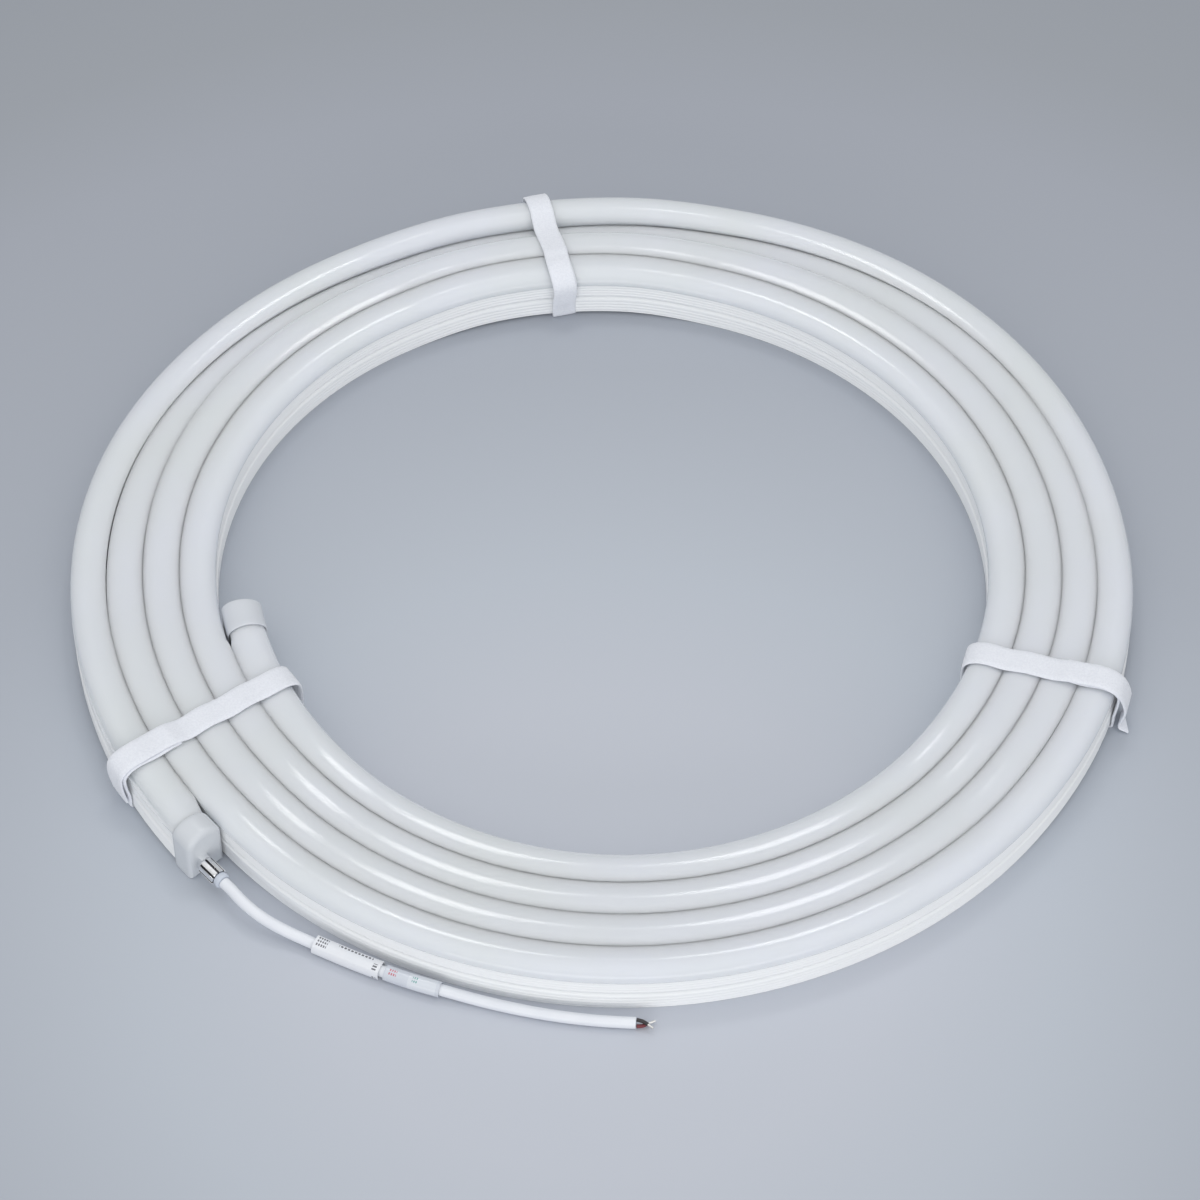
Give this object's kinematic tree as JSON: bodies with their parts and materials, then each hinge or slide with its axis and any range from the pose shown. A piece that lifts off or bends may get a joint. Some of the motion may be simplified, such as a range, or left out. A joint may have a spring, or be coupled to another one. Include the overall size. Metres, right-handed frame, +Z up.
{
  "type": "led strip light reel",
  "caption": "Flat coil of white domed silicone light strip with end caps and a short feed cable, held together by three fabric straps.",
  "frame": {"origin": "on the floor under the middle of the coil's box, feed cable apart", "axes": "+Z up out of the coil's flat side, domes up; the feed cable runs along the -Y side towards +X"},
  "size_m": [0.4648, 0.4539, 0.0276],
  "materials": {
    "silicone_white": "satin milky white silicone",
    "cap_silicone": "smooth milky silicone",
    "strap_fabric": "white napped hook and loop tape",
    "collar_metal": "bright plated metal",
    "bushing_plastic": "pale grey translucent plastic",
    "jacket_white": "smooth white cable jacket",
    "label_white": "thin white wrap label with plain marks",
    "sleeve_clear": "translucent shrink sleeve",
    "insulation_black": "black wire insulation",
    "insulation_red": "dark red wire insulation",
    "tinned_wire": "tinned copper"
  },
  "bodies": {
    "root": {"neon_strip": "silicone_white", "inner_end_cap": "cap_silicone", "feed_end_cap": "cap_silicone", "crimp_collar": "collar_metal", "cable_bushing": "bushing_plastic", "strap_left": "strap_fabric", "strap_back": "strap_fabric", "strap_right": "strap_fabric", "cable_jacket": "jacket_white", "cable_label": "label_white", "marker_sleeve": "sleeve_clear", "wire_black": "insulation_black", "wire_red": "insulation_red", "wire_black_tip": "tinned_wire", "wire_red_tip": "tinned_wire"}
  },
  "joints": []
}
